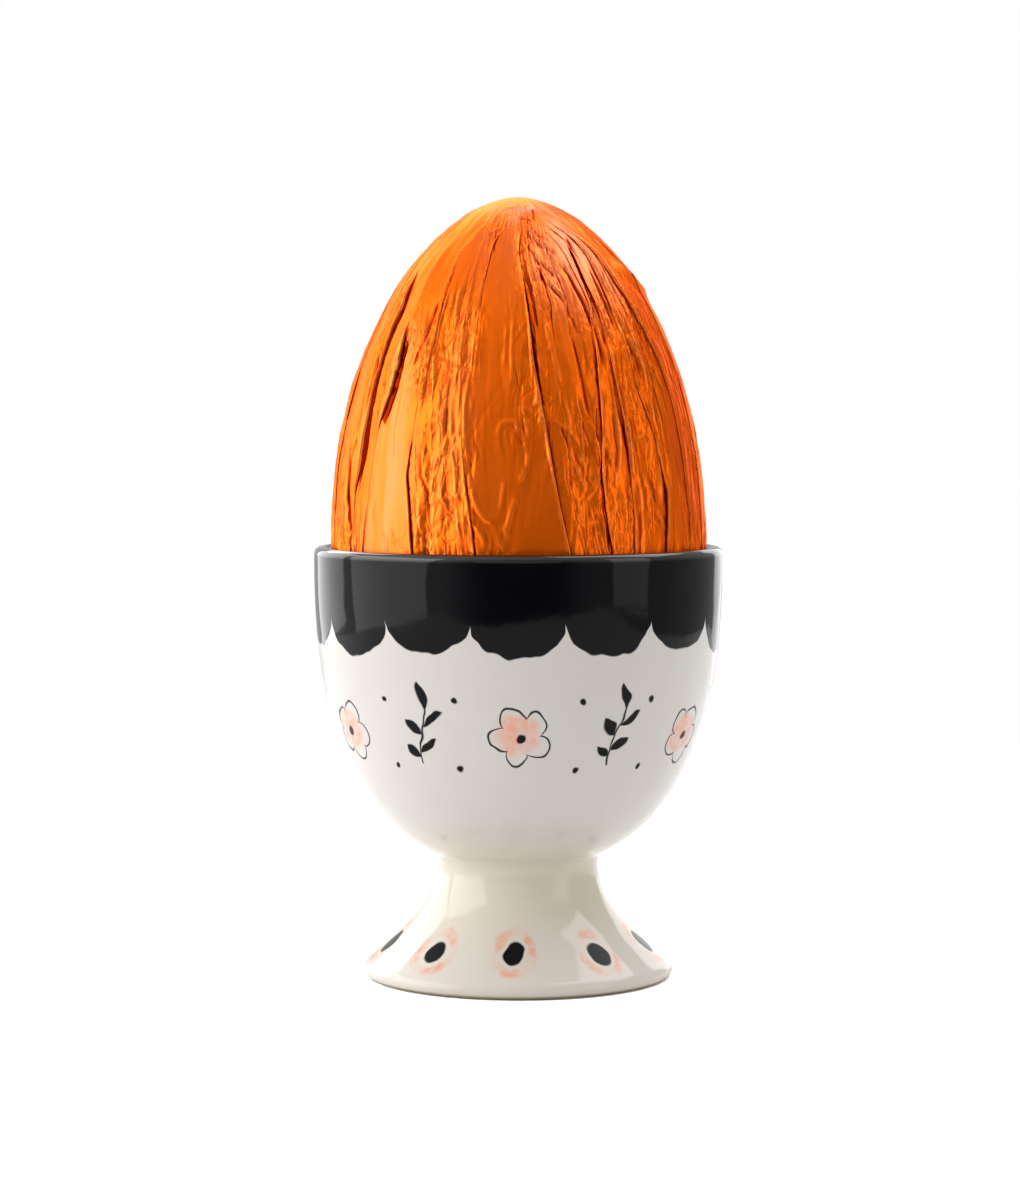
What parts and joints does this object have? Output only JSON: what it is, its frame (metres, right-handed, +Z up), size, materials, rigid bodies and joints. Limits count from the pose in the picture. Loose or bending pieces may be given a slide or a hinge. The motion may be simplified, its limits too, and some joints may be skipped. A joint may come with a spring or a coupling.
{
  "type": "foil-wrapped chocolate egg in egg cup",
  "caption": "Chocolate egg wrapped in pleated orange foil, standing upright in a footed glazed ceramic egg cup.",
  "frame": {"origin": "on the table under the centre of the cup's foot", "axes": "+Z up along the egg and the cup, -Y towards the front"},
  "size_m": [0.055, 0.055, 0.105],
  "materials": {
    "orange_foil": "satin orange lacquered foil, pleated and crumpled",
    "glazed_ceramic": "glossy off-white glaze with hand-painted black and coral decoration"
  },
  "bodies": {
    "root": {"foil_egg": "orange_foil", "egg_cup": "glazed_ceramic"}
  },
  "joints": []
}
